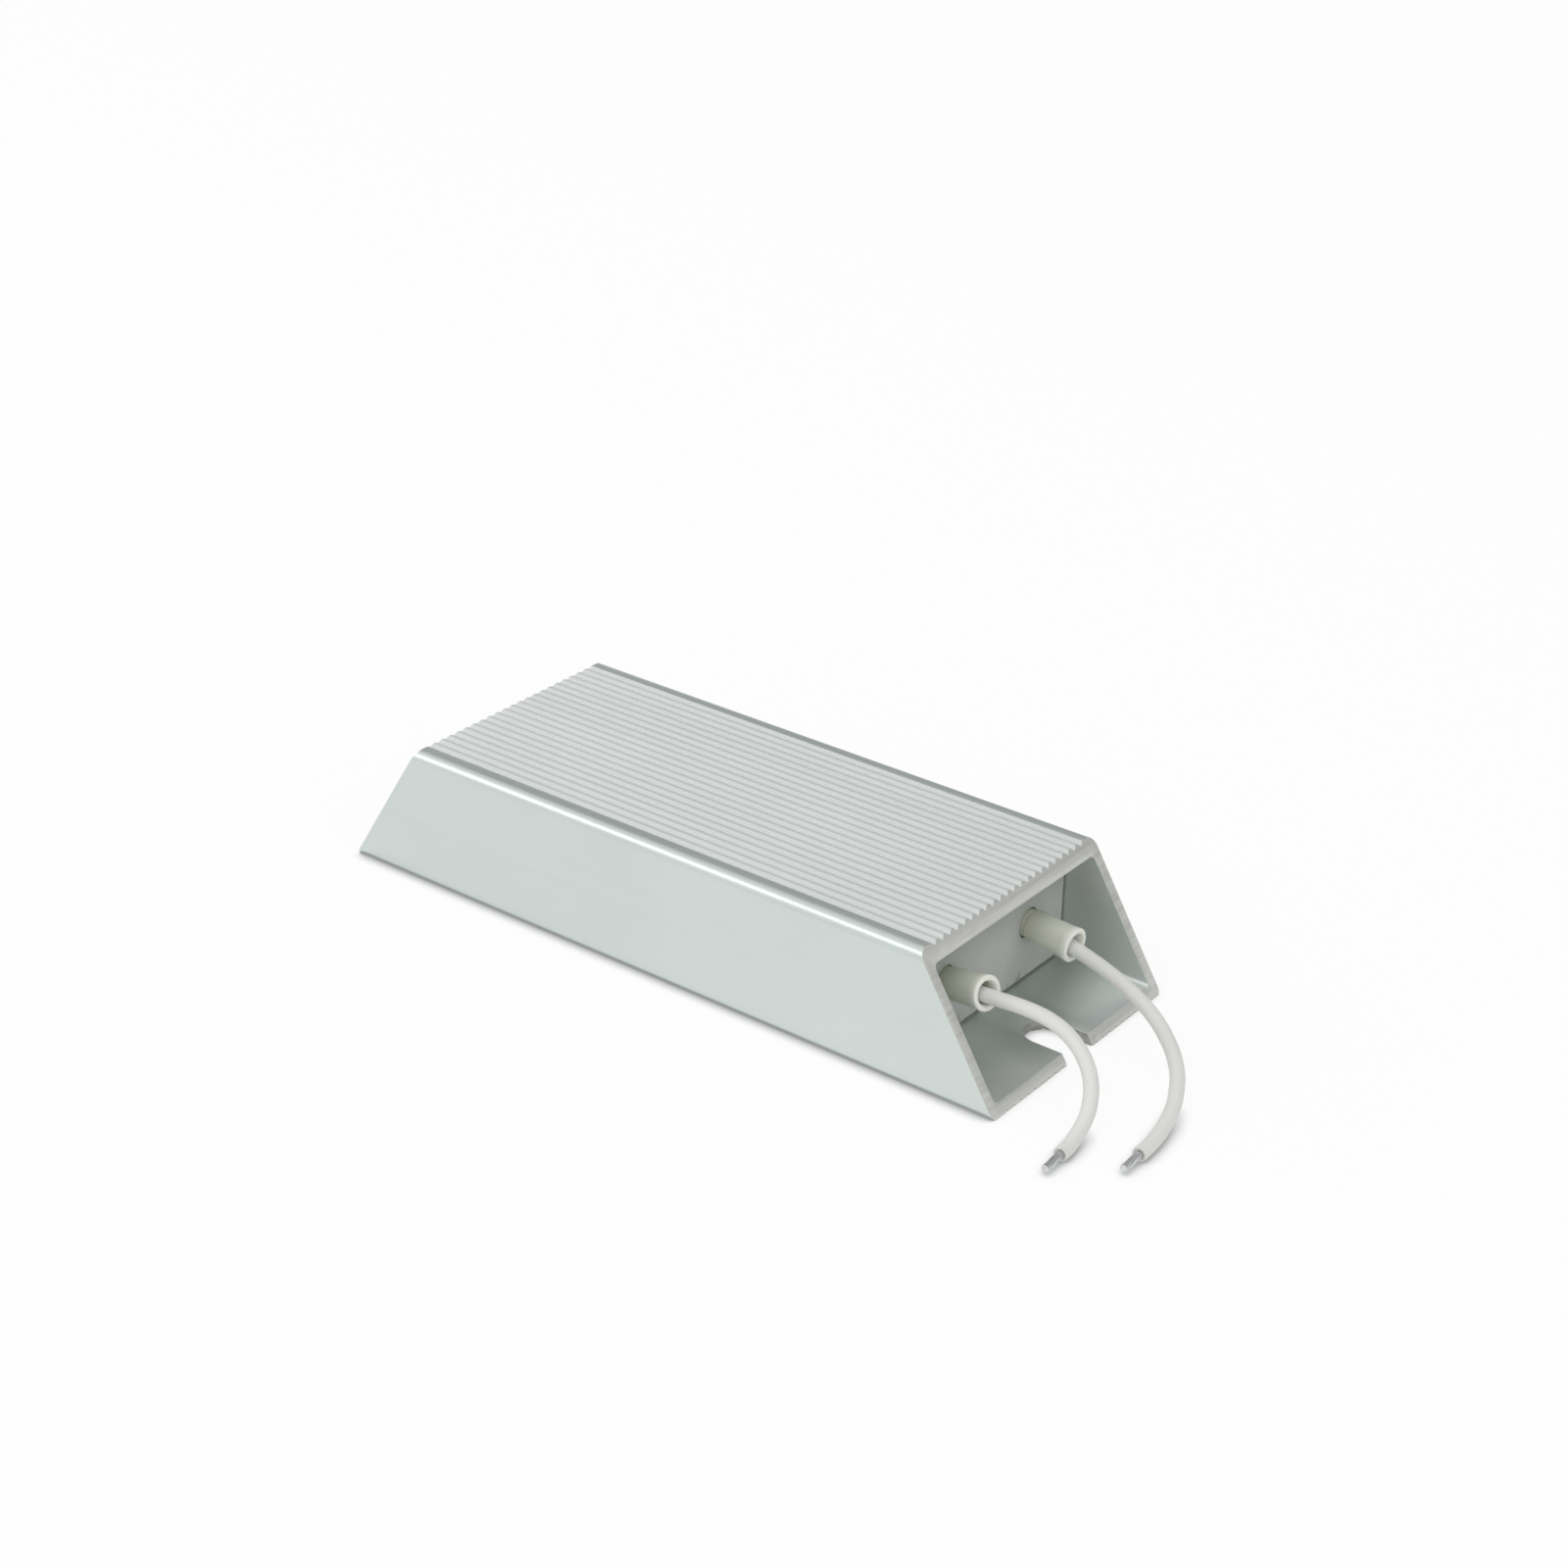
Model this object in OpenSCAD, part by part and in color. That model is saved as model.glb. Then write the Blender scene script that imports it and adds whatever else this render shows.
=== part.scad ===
// Aluminium housed power resistor with two free leads.
// Two wire-wound ceramic rods lie side by side in a ribbed aluminium extrusion, bedded in quartz
// cement and shut in by a board at each end. The rods are in series: a strap joins them at the rear,
// and both leads leave through sleeves at the front (+X). Origin: centre of the base. X runs along
// the housing, Y across it and Z up from the face that is bolted down.

/* [Housing] */
// Length along the base
base_l = 165; // [155:1:220]
// Length along the top, which the slanting ends leave
top_l = 128; // [124:1:150]
// Width over the side walls
housing_w = 60; // [56:1:70]
// Height over the ribs
housing_h = 30; // [28:1:36]
// Thickness of each side wall
side_t = 2.4; // [1.8:0.2:3]
// Thickness of the top wall, ribs included
top_t = 3.2; // [2.6:0.2:4]
// Thickness of the floor, which ends in the fixing lips
floor_t = 2.2; // [2:0.2:3.2]
// Radius of the two long upper edges
edge_r = 2.4; // [1:0.2:3]
// Radius of the two long lower edges
foot_r = 1.4; // [0.6:0.2:2]
// Radius of the long inner corners
bore_r = 1.2; // [0.6:0.2:2]

/* [Ribs] */
// Number of ribs, on the top and underneath alike
ribs = 21; // [15:2:21]
// Distance from rib to rib
rib_pitch = 2.4; // [2:0.1:2.4]
// Width of the rounded valley between two upper ribs
valley_w = 1.9; // [1.2:0.1:2]
// Depth of the valleys on the top
valley_d = 0.7; // [0.3:0.1:1]
// Width of the shallow grooves underneath
groove_w = 1; // [0.6:0.1:1.4]
// Depth of the shallow grooves underneath
groove_d = 0.4; // [0.2:0.1:0.8]

/* [Fixing slots] */
// Distance between the round seats of the two open slots
seat_pitch = 149; // [146:1:150]
// Width of each slot
slot_w = 9; // [7:0.5:10]
// Radius of the corners at each slot's mouth
mouth_r = 0.5; // [0.25:0.25:1.5]

/* [End boards] */
// Distance from the middle to the outer face of each board
board_x = 60; // [59:0.5:61]
// Thickness of each board
board_t = 2; // [1.5:0.5:3]
// Width and depth of the rebate round each board's outer edge
rebate = 0.6; // [0.3:0.1:0.8]

/* [Resistance elements] */
// Distance of each rod's axis from the middle of the width
rod_y = 14.5; // [14:0.5:15]
// Height of both rods' axes and of both lead outlets
rod_z = 15; // [14.6:0.1:15.4]
// Diameter of each ceramic rod
rod_d = 14; // [13:0.5:14.5]
// Bore of each ceramic rod
rod_bore = 5; // [4:0.5:6]
// Length of each ceramic rod
rod_l = 88; // [84:1:88]
// Turns of resistance wire on each rod
turns = 30; // [20:1:36]
// Height of the winding over the rod
wire_t = 1; // [0.8:0.1:1.2]
// Depth of each terminal cap
cap_l = 7; // [5:0.5:9]
// Sheet thickness of the caps and the strap
sheet_t = 0.6; // [0.5:0.1:0.8]

/* [Lead outlets] */
// Diameter of each sleeve's neck, which passes through the board
neck_d = 5.8; // [5.6:0.1:6]
// Diameter of each sleeve's bead at its rear end
bead_d = 6.5; // [6.3:0.1:6.8]
// Diameter of each bead at its wider mouth
flare_d = 7.2; // [6.9:0.1:7.6]
// Bore of each insulating sleeve
sleeve_bore = 4.3; // [4.2:0.1:4.6]
// Length of the near bead
near_bead = 10.4; // [9:0.1:11]
// Length of the far bead
far_bead = 10.6; // [9:0.1:11]
// How far the near bead leans sideways and upwards, in degrees
near_lean = [-10, 12]; // [-15:1:15]
// How far the far bead leans sideways and upwards, in degrees
far_lean = [-3.5, -4]; // [-15:0.5:15]
// Diameter of each lead over its braid
lead_d = 3; // [2.8:0.1:3.2]
// Diameter of the stranded conductor
core_d = 1.6; // [1.2:0.1:2]
// Length of bare tinned conductor at each lead's end
tip_l = 6; // [4:0.5:10]

/* [Hidden] */

$fn = 48;
slack = 1;                              // how far a cutting shape runs past what it cuts
valley_steps = 6;                       // straight facets across one rounded valley
groove_steps = 2;                       // the two flanks of a groove underneath
bore_w = housing_w - 2 * side_t;
bore_h = housing_h - top_t - floor_t;
bore_z = floor_t + bore_h / 2;
board_in = board_x - board_t;           // inner face of each board, where the filling ends
rod_front = 40;                         // front end of both rods
rod_rear = rod_front - rod_l;
wind_front = rod_front - cap_l;
wind_rear = rod_rear + cap_l;
cap_r = rod_d / 2 + sheet_t;
winding_r = rod_d / 2 + wire_t;
pin_end = 48;                           // where each cap's pin meets the lead's conductor
lead_start = 56;                        // where each lead's insulation begins
crimp_rear = 43;
crimp_front = 53;
crimp_r = 1.6;
sleeve_rear = 42;
bead_x = board_x + 1;                   // middle of each bead's rear face, just clear of the board
bore_r2 = sleeve_bore / 2;
strap_w = 6;

// Middle line of each lead, from the start of its insulation to the stripped end.
near_route = [
    [56, -14.5, 15], [58.9, -14.5, 15], [61.8, -14.8, 15.24], [64.6, -15.35, 15.68],
    [67.4, -15.85, 16.15], [70.2, -16.2, 16.6], [73.1, -16.3, 16.85], [76, -16.1, 16.93],
    [78.9, -15.7, 16.8], [81.7, -15.25, 16.41], [84.5, -14.87, 15.69], [87.2, -14.71, 14.61],
    [89.7, -14.86, 13.16], [92, -15.38, 11.44], [94, -16.32, 9.55], [95.6, -17.72, 7.65],
    [96.8, -19.58, 5.85], [97.7, -21.82, 4.25], [98.2, -24.34, 2.98], [98.5, -27.05, 2.08],
    [98.8, -29.9, 1.5], [99, -32.8, 1.5]
];
far_route = [
    [56, 14.5, 15], [59.4, 14.5, 15], [62.8, 14.38, 14.85], [66.1, 14.16, 14.5],
    [69.5, 13.88, 14.05], [72.8, 13.54, 13.5], [76.1, 13.14, 12.89], [79.4, 12.66, 12.24],
    [82.7, 12.06, 11.53], [85.9, 11.27, 10.78], [89, 10.28, 9.99], [92.1, 9.03, 9.17],
    [95, 7.51, 8.32], [97.7, 5.71, 7.46], [100.3, 3.64, 6.59], [102.6, 1.29, 5.72],
    [104.6, -1.3, 4.87], [106.2, -4.14, 4.05], [107.6, -7.16, 3.27], [108.6, -10.32, 2.59],
    [109.3, -13.58, 2.05], [109.8, -16.91, 1.67], [110.1, -20.3, 1.5], [110.2, -23.7, 1.5]
];

function unit(v) = v / norm(v);

// Direction of a route at one of its points, from the points on each side of it.
function heading(route, i) =
    unit(route[min(i + 1, len(route) - 1)] - route[max(i - 1, 0)]);

// Corners of a ring around one point of a route, square to its heading.
function ring(route, i, r, sides) =
    let (ahead = heading(route, i), left = unit(cross([0, 0, 1], ahead)), up = cross(ahead, left))
    [for (k = [0 : sides - 1]) route[i] + r * (cos(360 * k / sides) * left + sin(360 * k / sides) * up)];

// Closed tube of the given number of sides along a route.
module tube_along(route, d, sides = 8) {
    rings = len(route);
    polyhedron(
        points = [for (i = [0 : rings - 1]) each ring(route, i, d / 2, sides)],
        faces = concat(
            [[for (k = [0 : sides - 1]) k]],
            [for (i = [0 : rings - 2], k = [0 : sides - 1])
                let (a = i * sides, b = a + sides, n = (k + 1) % sides) [a + k, b + k, b + n, a + n]],
            [[for (k = [sides - 1 : -1 : 0]) (rings - 1) * sides + k]]
        )
    );
}

// Round bar along X, from x0 to x1 on the axis at side * rod_y.
module bar(x0, x1, r, side) {
    translate([x0, side * rod_y, rod_z]) rotate([0, 90, 0]) cylinder(h = x1 - x0, r = r);
}

// Turned shape along X: its outline is drawn as [distance from x0, radius].
module turned(x0, side, outline) {
    translate([x0, side * rod_y, rod_z]) rotate([0, 90, 0])
        rotate_extrude() polygon([for (p = outline) [p.y, p.x]]);
}

// Shape turned about an axis that leans by [sideways, upwards] degrees from the bead's rear face.
module leaning(side, lean, outline) {
    translate([bead_x, side * rod_y, rod_z]) rotate([0, 90 - lean.y, lean.x])
        rotate_extrude() polygon([for (p = outline) [p.y, p.x]]);
}

// Rectangle from z0 to z0 + h, centred on the width, with its own radius at the lower and upper corners.
module rounded_section(w, h, z0, r_low, r_high) {
    difference() {
        translate([-w / 2, z0]) square([w, h]);
        for (side = [-1, 1]) {
            corner_cut([side * w / 2, z0], [-side, 1], r_low);
            corner_cut([side * w / 2, z0 + h], [-side, -1], r_high);
        }
    }
}

// What rounding a corner takes away: towards points from the corner into the material.
module corner_cut(corner, towards, r) {
    translate(corner) scale([towards.x, towards.y]) difference() {
        translate([-slack, -slack]) square(r + slack);
        translate([r, r]) circle(r);
    }
}

// Row of valleys cut into an edge at height z; into is -1 for a top edge and 1 for a bottom edge.
module valleys(z, into, w, d, steps) {
    for (i = [0 : ribs])
        translate([(i - ribs / 2) * rib_pitch, z])
            polygon(concat(
                [for (k = [0 : steps]) [w * (k / steps - 0.5), into * d * (1 - cos(360 * k / steps)) / 2]],
                [[w / 2, -into * slack], [-w / 2, -into * slack]]
            ));
}

// Cross-section of the extrusion, with its width along the first axis.
module housing_section() {
    difference() {
        rounded_section(housing_w, housing_h, 0, foot_r, edge_r);
        rounded_section(bore_w, bore_h, floor_t, bore_r, bore_r);
        valleys(housing_h, -1, valley_w, valley_d, valley_steps);
        valleys(0, 1, groove_w, groove_d, groove_steps);
    }
}

// Slot open at the end of a lip, with a round seat and eased mouth corners, as seen from above.
module slot_plan() {
    translate([seat_pitch / 2, 0]) circle(d = slot_w);
    translate([seat_pitch / 2, -slot_w / 2]) square([base_l / 2 - seat_pitch / 2 + slack, slot_w]);
    for (side = [-1, 1])
        translate([base_l / 2, side * slot_w / 2]) scale([-1, side]) difference() {
            translate([-slack, -slack]) square(mouth_r + slack);
            translate([mouth_r, mouth_r]) circle(mouth_r);
        }
}

module housing() {
    color("gainsboro") difference() {
        intersection() {
            translate([-base_l / 2, 0, 0]) rotate([90, 0, 90])
                linear_extrude(base_l) housing_section();
            rotate([90, 0, 0]) linear_extrude(housing_w + 2 * slack, center = true)
                polygon([
                    [-base_l / 2, 0], [base_l / 2, 0], [top_l / 2, housing_h], [-top_l / 2, housing_h]
                ]);
        }
        for (turn = [0, 180])
            rotate([0, 0, turn]) translate([0, 0, -slack])
                linear_extrude(floor_t + 2 * slack) slot_plan();
    }
}

// Plain board for the rear end: its inner face is at x = 0, and its outer edge is rebated.
module board_blank() {
    rotate([90, 0, 90]) {
        linear_extrude(board_t - rebate)
            rounded_section(bore_w, bore_h, floor_t, bore_r, bore_r);
        translate([0, 0, board_t - rebate]) linear_extrude(rebate)
            rounded_section(bore_w - 2 * rebate, bore_h - 2 * rebate, floor_t + rebate,
                bore_r - rebate / 2, bore_r - rebate / 2);
    }
}

module lead_end_board() {
    color("silver") difference() {
        translate([board_in, 0, 0]) board_blank();
        for (side = [-1, 1]) bar(board_in - slack, board_x + slack, neck_d / 2, side);
    }
}

module rear_end_board() {
    color("silver") rotate([0, 0, 180]) translate([board_in, 0, 0]) board_blank();
}

// Cement that fills the bore between the boards, around everything bedded in it.
module cement_filling() {
    color("lightgrey") difference() {
        translate([-board_in, 0, 0]) rotate([90, 0, 90])
            linear_extrude(2 * board_in) rounded_section(bore_w, bore_h, floor_t, bore_r, bore_r);
        for (side = [-1, 1]) {
            bar(wind_rear, wind_front, winding_r, side);
            bar(rod_rear - sheet_t, wind_rear, cap_r, side);
            bar(wind_front, rod_front + sheet_t, cap_r, side);
            bar(rod_front, sleeve_rear, core_d / 2, side);
            bar(sleeve_rear, board_in + slack, neck_d / 2, side);
        }
        strap_block();
    }
}

module rod(side) {
    color("white") difference() {
        bar(rod_rear, rod_front, rod_d / 2, side);
        bar(rod_rear - slack, rod_front + slack, rod_bore / 2, side);
    }
}

// One layer of wire, drawn as a ridge for each turn between the two caps.
module winding(side) {
    pitch = (wind_front - wind_rear) / turns;
    root = rod_d / 2 + wire_t * 0.3;
    color("dimgray") turned(wind_rear, side, concat(
        [[0, rod_d / 2]],
        [for (i = [0 : turns - 1]) each [
            [i * pitch, root], [(i + 0.3) * pitch, winding_r], [(i + 0.7) * pitch, winding_r]
        ]],
        [[turns * pitch, root], [turns * pitch, rod_d / 2]]
    ));
}

// Pressed cup over a rod's end; out is 1 at the front and -1 at the rear. A front cap carries a pin.
module cap(side, out) {
    end = out > 0 ? rod_front : rod_rear;
    color("lightsteelblue") {
        difference() {
            bar(min(end - out * cap_l, end + out * sheet_t), max(end - out * cap_l, end + out * sheet_t),
                cap_r, side);
            bar(min(end - out * (cap_l + slack), end), max(end - out * (cap_l + slack), end),
                rod_d / 2, side);
        }
        if (out > 0) bar(rod_front + sheet_t / 2, pin_end, core_d / 2, side);
    }
}

// The flat strap across both rear caps, as a plain block.
module strap_block() {
    reach = rod_y + strap_w / 2;
    translate([rod_rear - 2 * sheet_t, -reach, rod_z - strap_w / 2]) cube([sheet_t, 2 * reach, strap_w]);
}

module series_strap() {
    color("lightsteelblue") strap_block();
}

// Tube squeezed over the pin and the lead's conductor, with a waist where the tool has pressed it.
module crimp(side) {
    long = crimp_front - crimp_rear;
    color("goldenrod") turned(crimp_rear, side, [
        [0, core_d / 2], [0, crimp_r], [long * 0.15, crimp_r], [long * 0.25, crimp_r - 0.3],
        [long * 0.35, crimp_r], [long * 0.65, crimp_r], [long * 0.75, crimp_r - 0.3],
        [long * 0.85, crimp_r], [long, crimp_r], [long, core_d / 2]
    ]);
}

module conductor(side) {
    color("peru") bar(pin_end, lead_start, core_d / 2, side);
}

// Straight neck bedded in the cement and the board, and a loose-fitting bead that flares to its mouth.
module sleeve(side, long, lean) {
    rear_r = bead_d / 2;
    front_r = flare_d / 2;
    color("cornsilk") difference() {
        union() {
            bar(sleeve_rear, bead_x + 1, neck_d / 2, side);
            leaning(side, lean, [
                [0, 0], [0, rear_r - 0.3], [0.3, rear_r], [long - 1.2, front_r - 0.1],
                [long - 0.4, front_r], [long, front_r - 0.4], [long, 0]
            ]);
        }
        bar(sleeve_rear - slack, bead_x + 1.2, bore_r2, side);
        leaning(side, lean, [
            [-0.6, 0], [-0.6, bore_r2], [long - 1.5, bore_r2], [long + 0.5, bore_r2 + 0.6], [long + 0.5, 0]
        ]);
    }
}

module lead(route) {
    color("ivory") tube_along(route, lead_d);
}

// Bare tinned end that carries on from a lead's last point.
module lead_tip(route) {
    last = len(route) - 1;
    ahead = heading(route, last);
    ease = 0.25;
    color("lightsteelblue") translate(route[last]) rotate([0, 90, atan2(ahead.y, ahead.x)])
        rotate_extrude() polygon([
            [0, 0], [core_d / 2, 0], [core_d / 2, tip_l - ease], [core_d / 2 - ease, tip_l], [0, tip_l]
        ]);
}

housing();
lead_end_board();
rear_end_board();
cement_filling();
rod(-1);  // rod_near
rod(1);  // rod_far
winding(-1);  // winding_near
winding(1);  // winding_far
cap(-1, 1);  // front_cap_near
cap(1, 1);  // front_cap_far
cap(-1, -1);  // rear_cap_near
cap(1, -1);  // rear_cap_far
series_strap();
crimp(-1);  // crimp_near
crimp(1);  // crimp_far
conductor(-1);  // conductor_near
conductor(1);  // conductor_far
sleeve(-1, near_bead, near_lean);  // sleeve_near
sleeve(1, far_bead, far_lean);  // sleeve_far
lead(near_route);  // lead_near
lead(far_route);  // lead_far
lead_tip(near_route);  // lead_tip_near
lead_tip(far_route);  // lead_tip_far
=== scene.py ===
"""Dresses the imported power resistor: ribbed housing, end boards, sleeves, braided leads and a studio.

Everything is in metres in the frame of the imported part: X runs along the housing towards the leads,
Y across it and Z up from the base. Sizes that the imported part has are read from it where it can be
asked, and otherwise repeat the named values of its source.
"""

from __future__ import annotations

import logging
from abc import ABC, abstractmethod
from collections.abc import Callable, Sequence
from dataclasses import dataclass, field
from enum import Enum
from math import cos, pi, radians, sin, sqrt, tau

import bmesh
import bpy
from mathutils import Matrix, Vector


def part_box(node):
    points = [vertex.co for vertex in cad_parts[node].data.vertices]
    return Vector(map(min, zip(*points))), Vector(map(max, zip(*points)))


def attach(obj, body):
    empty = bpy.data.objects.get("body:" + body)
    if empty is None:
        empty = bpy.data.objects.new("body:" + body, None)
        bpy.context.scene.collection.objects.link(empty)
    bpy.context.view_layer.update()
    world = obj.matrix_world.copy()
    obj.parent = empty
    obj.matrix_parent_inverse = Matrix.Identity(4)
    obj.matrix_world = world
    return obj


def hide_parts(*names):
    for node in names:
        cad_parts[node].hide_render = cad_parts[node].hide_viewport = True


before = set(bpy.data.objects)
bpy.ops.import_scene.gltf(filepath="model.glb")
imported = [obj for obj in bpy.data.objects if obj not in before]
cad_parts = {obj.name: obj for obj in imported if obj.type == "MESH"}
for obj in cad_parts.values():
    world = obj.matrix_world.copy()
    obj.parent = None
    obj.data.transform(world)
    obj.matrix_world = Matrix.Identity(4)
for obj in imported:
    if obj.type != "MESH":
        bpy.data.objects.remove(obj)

LOG = logging.getLogger("power_resistor")
BODY = "root"
MM = 0.001
NEARBY = 0.1 * MM  # this close to a surface counts as at it
TURN_STEPS = 72  # straight steps in a round part's full turn
FINE_NOISE = 0.55  # strength of each finer octave of noise
NO_SLOT = -1  # new faces take their neighbours' material slot
MIX_FIRST, MIX_SECOND, MIX_RESULT = 6, 7, 2  # the colour sockets of a Mix node

Piece = bpy.types.Object
Socket = bpy.types.NodeSocket
Colour = tuple[float, float, float]
Point2 = tuple[float, float]
Point3 = tuple[float, float, float]
Outline = Sequence[Point2]
Values = dict[str | int, object]


class Side(Enum):
    """Which of the two like elements a piece belongs to, with the sign of its Y."""

    NEAR = -1
    FAR = 1

    @property
    def word(self) -> str:
        """The side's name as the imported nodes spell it."""
        return self.name.lower()


class End(Enum):
    """An end of the housing, with the sign of its X."""

    REAR = -1
    LEAD = 1


class Solver(Enum):
    """How one mesh is combined with another."""

    CUT = "DIFFERENCE"
    JOIN = "UNION"


# Shader graphs


@dataclass(frozen=True)
class Field:
    """A number that varies over a surface: an output socket. Arithmetic on it adds Math nodes."""

    graph: Graph
    socket: Socket

    def _math(self, operation: str, *terms: Term, clamp: bool = False) -> Field:
        """Adds a Math node.

        Args:
            operation: The node's operation.
            *terms: Its operands, in order.
            clamp: Whether the result is held between 0 and 1.

        Returns:
            The node's result.
        """
        settings = {"operation": operation, "use_clamp": clamp}
        made = self.graph.node("Math", settings, dict(enumerate(terms)))
        return Field(self.graph, made.outputs[0])

    def __add__(self, other: Term) -> Field:
        """Sum."""
        return self._math("ADD", self, other)

    def __radd__(self, other: Term) -> Field:
        """Reflected sum."""
        return self._math("ADD", other, self)

    def __sub__(self, other: Term) -> Field:
        """Difference."""
        return self._math("SUBTRACT", self, other)

    def __rsub__(self, other: Term) -> Field:
        """Reflected difference."""
        return self._math("SUBTRACT", other, self)

    def __mul__(self, other: Term) -> Field:
        """Product."""
        return self._math("MULTIPLY", self, other)

    def __rmul__(self, other: Term) -> Field:
        """Reflected product."""
        return self._math("MULTIPLY", other, self)

    def clamped(self) -> Field:
        """The field held between 0 and 1."""
        return self._math("ADD", self, 0.0, clamp=True)

    def swing(self, reach: float) -> Field:
        """The field, which lies round 0.5, moved to lie round 0 and scaled."""
        return (self - 0.5) * reach

    def rise(self, low: float, high: float) -> Field:
        """A smooth step.

        Args:
            low: Where the step starts, at 0.
            high: Where it has reached 1. Below low, the step falls instead.

        Returns:
            The step, from 0 to 1.
        """
        settings = {"interpolation_type": "SMOOTHSTEP"}
        if low < high:
            inputs = {"Value": self, "From Min": low, "From Max": high}
            return Field(self.graph, self.graph.node("MapRange", settings, inputs).outputs[0])
        return 1.0 - self.rise(high, low)


Term = Field | float


@dataclass(frozen=True)
class Graph:
    """The node tree of a material or of the world, built from nothing."""

    tree: bpy.types.NodeTree

    def __post_init__(self) -> None:
        """Empties the tree."""
        self.tree.nodes.clear()

    def node(self, kind: str, settings: Values | None = None, inputs: Values | None = None) -> bpy.types.Node:
        """Adds a node of any type.

        Args:
            kind: The node's type, without ShaderNode at its start.
            settings: Its properties, which are set first.
            inputs: Values or links of its sockets, by name or number.

        Returns:
            The new node.
        """
        made = self.tree.nodes.new(f"ShaderNode{kind}")
        for name, value in (settings or {}).items():
            setattr(made, name, value)
        for name, value in (inputs or {}).items():
            target = made.inputs[name]
            source = value.socket if isinstance(value, Field) else value
            if isinstance(source, Socket):
                self.tree.links.new(source, target)
            else:
                target.default_value = source
        return made

    def place(self, *stretch: float) -> Socket:
        """Position on the part, scaled along each axis.

        Args:
            *stretch: Factors for X, Y and Z, or one for all three.

        Returns:
            The scaled position in the part's frame.
        """
        source = self.node("TexCoord").outputs["Object"]
        factors = stretch if len(stretch) == 3 else stretch * 3
        made = self.node("VectorMath", {"operation": "MULTIPLY"}, {0: source, 1: factors})
        return made.outputs[0]

    def axes(self, vector: Socket) -> tuple[Field, Field, Field]:
        """The three numbers of a vector."""
        parts = self.node("SeparateXYZ", inputs={0: vector}).outputs
        return Field(self, parts[0]), Field(self, parts[1]), Field(self, parts[2])

    def noise(self, *stretch: float, detail: float = 3.0) -> Field:
        """Soft random variation.

        Args:
            *stretch: Cycles per metre along X, Y and Z, or one number for all three.
            detail: Octaves of finer variation.

        Returns:
            A field around 0.5.
        """
        inputs = {"Vector": self.place(*stretch), "Scale": 1.0, "Detail": detail, "Roughness": FINE_NOISE}
        return Field(self, self.node("TexNoise", {"noise_dimensions": "3D"}, inputs).outputs[0])

    def grains(self, per_metre: float) -> Field:
        """Distance from the nearest of many scattered points, for grit and pores.

        Args:
            per_metre: Points per metre along each axis.

        Returns:
            The distance, about 0 to 1.
        """
        inputs = {"Vector": self.place(per_metre), "Scale": 1.0}
        made = self.node("TexVoronoi", {"feature": "F1"}, inputs)
        return Field(self, made.outputs["Distance"])

    def attribute(self, name: str) -> Field:
        """A number stored on the mesh's points."""
        made = self.node("Attribute", {"attribute_name": name, "attribute_type": "GEOMETRY"})
        return Field(self, made.outputs["Fac"])

    def mixed(self, share: Term, first: Colour | Socket, second: Colour | Socket) -> Socket:
        """A colour between two colours.

        Args:
            share: How much of the second colour there is, from 0 to 1.
            first: The first colour.
            second: The second colour.

        Returns:
            The mixed colour.
        """
        ends = [end if isinstance(end, Socket) else (*end, 1.0) for end in (first, second)]
        inputs = {"Factor": share, MIX_FIRST: ends[0], MIX_SECOND: ends[1]}
        return self.node("Mix", {"data_type": "RGBA"}, inputs).outputs[MIX_RESULT]

    def bump(self, height: Field, depth: float) -> Socket:
        """A normal bent by a height from 0 to 1, of which 1 is a depth in metres."""
        return self.node("Bump", inputs={"Height": height, "Distance": depth}).outputs["Normal"]

    def surface(self, colour: Socket, roughness: Term, others: Values) -> None:
        """Ends a material in one Principled shader.

        Args:
            colour: Its colour.
            roughness: Its roughness.
            others: Values or links of the shader's other sockets.
        """
        inputs = {"Base Color": colour, "Roughness": roughness, **others}
        shader = self.node("BsdfPrincipled", inputs=inputs)
        self.node("OutputMaterial", inputs={"Surface": shader.outputs[0]})


def scaled(colour: Colour, factor: float) -> Colour:
    """A colour made lighter or darker by a factor."""
    return tuple(part * factor for part in colour)


# Finishes


@dataclass(frozen=True)
class Finish(ABC):
    """A surface finish, which becomes one material the first time that it is asked for."""

    name: str

    def material(self) -> bpy.types.Material:
        """The finish's material, made on the first call.

        Its label ends in _finish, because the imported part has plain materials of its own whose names
        are the record's slots.

        Returns:
            The material.
        """
        label = f"{self.name}_finish"
        made = bpy.data.materials.get(label)
        if made is None:
            made = bpy.data.materials.new(label)
            made.use_nodes = True
            self.paint(Graph(made.node_tree))
        return made

    @abstractmethod
    def paint(self, graph: Graph) -> None:
        """Builds the finish's nodes.

        Args:
            graph: The empty graph of the new material.
        """


@dataclass(frozen=True)
class AnodisedSkin(Finish):
    """Satin anodised aluminium, with fine draw lines along the extrusion."""

    tint: Colour = (0.64, 0.70, 0.675)
    roughness: float = 0.36
    line_depth: float = 0.003 * MM

    def paint(self, graph: Graph) -> None:
        """See Finish.paint."""
        lines = graph.noise(7.0, 2600.0, 2600.0, detail=2.0)
        streaks = graph.noise(4.0, 420.0, 420.0)
        clouds = graph.noise(26.0, 40.0, 40.0, detail=4.0)
        tone = graph.mixed(clouds.rise(0.3, 0.7), scaled(self.tint, 0.985), scaled(self.tint, 1.015))
        colour = graph.mixed(streaks.rise(0.56, 0.78) * 0.12, tone, scaled(self.tint, 0.86))
        rough = self.roughness + clouds.swing(0.04) + streaks.swing(0.05)
        normal = graph.bump(lines * 0.7 + streaks * 0.3, self.line_depth)
        graph.surface(colour, rough, {"Metallic": 1.0, "Normal": normal})


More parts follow.
